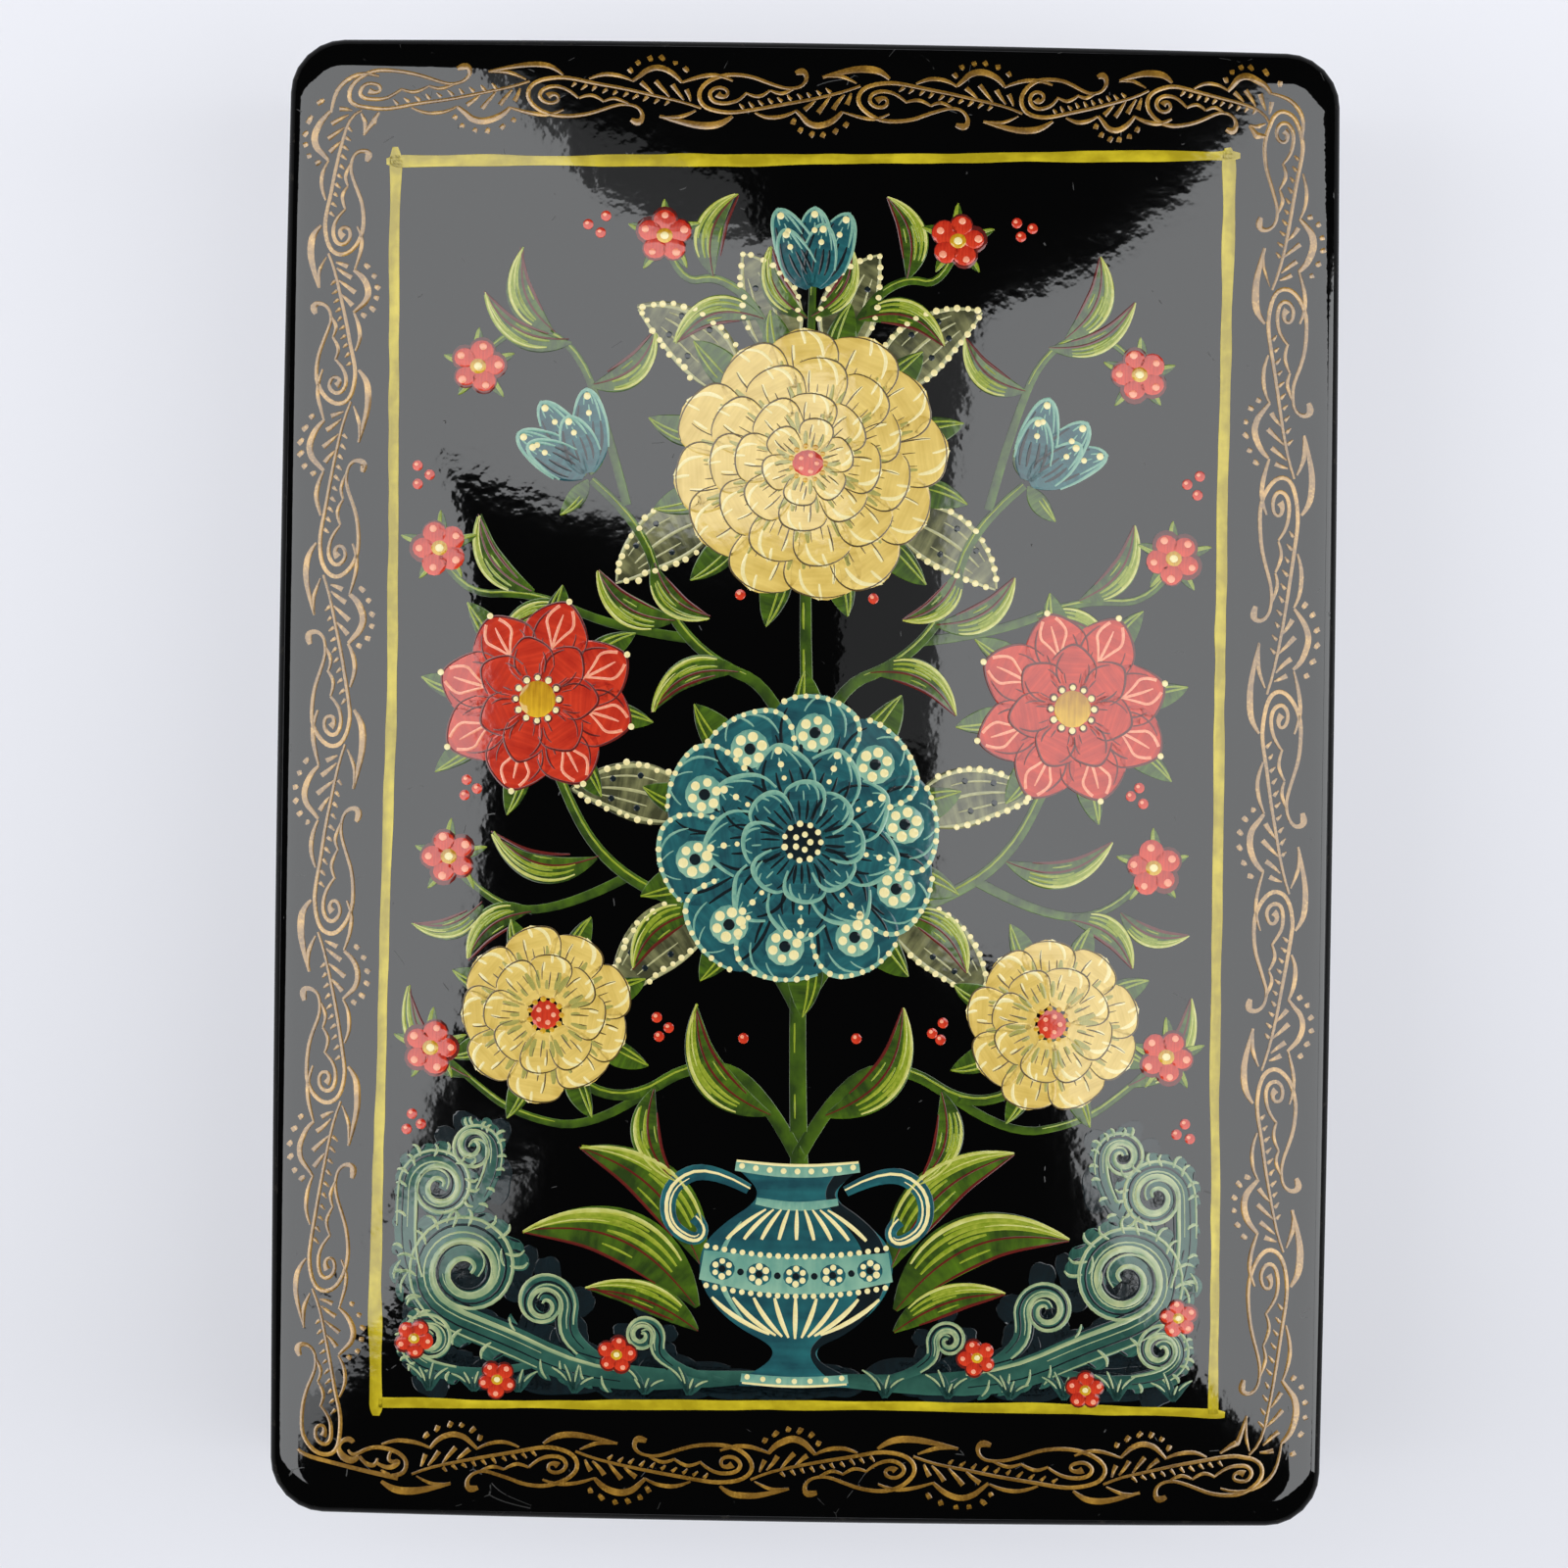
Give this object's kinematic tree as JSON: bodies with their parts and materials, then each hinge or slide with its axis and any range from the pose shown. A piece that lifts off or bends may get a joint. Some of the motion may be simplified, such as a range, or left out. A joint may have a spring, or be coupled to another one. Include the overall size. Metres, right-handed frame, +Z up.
{
  "type": "hinged lacquer box",
  "caption": "Rectangular black lacquer papier-mache box with a domed, painted, hinged lid and a red lacquer inside with a raised lip.",
  "frame": {"origin": "middle of the footprint, on the surface that the box stands on", "axes": "+Z up, +Y towards the top of the lid's picture along the long sides, -X towards the hinged side"},
  "size_m": [0.1, 0.14, 0.042],
  "materials": {
    "black_lacquer": "gloss",
    "red_lacquer": "gloss",
    "hinge_brass": "satin"
  },
  "bodies": {
    "base": {"body_wall": "black_lacquer", "bottom_panel": "black_lacquer", "inner_liner": "red_lacquer", "hinge_a_body_leaf": "hinge_brass", "hinge_b_body_leaf": "hinge_brass", "hinge_a_pin": "hinge_brass", "hinge_b_pin": "hinge_brass", "body_rivets": "hinge_brass"},
    "lid": {"lid_rim": "black_lacquer", "lid_panel": "black_lacquer", "hinge_a_lid_leaf": "hinge_brass", "hinge_b_lid_leaf": "hinge_brass", "lid_rivets": "hinge_brass"}
  },
  "joints": [
    {"name": "lid_hinge", "type": "hinge", "parent": "base", "child": "lid", "pos_m": [-0.0482, 0, 0.02705], "axis": [0, -1, 0], "range_deg": [0, 100]}
  ]
}
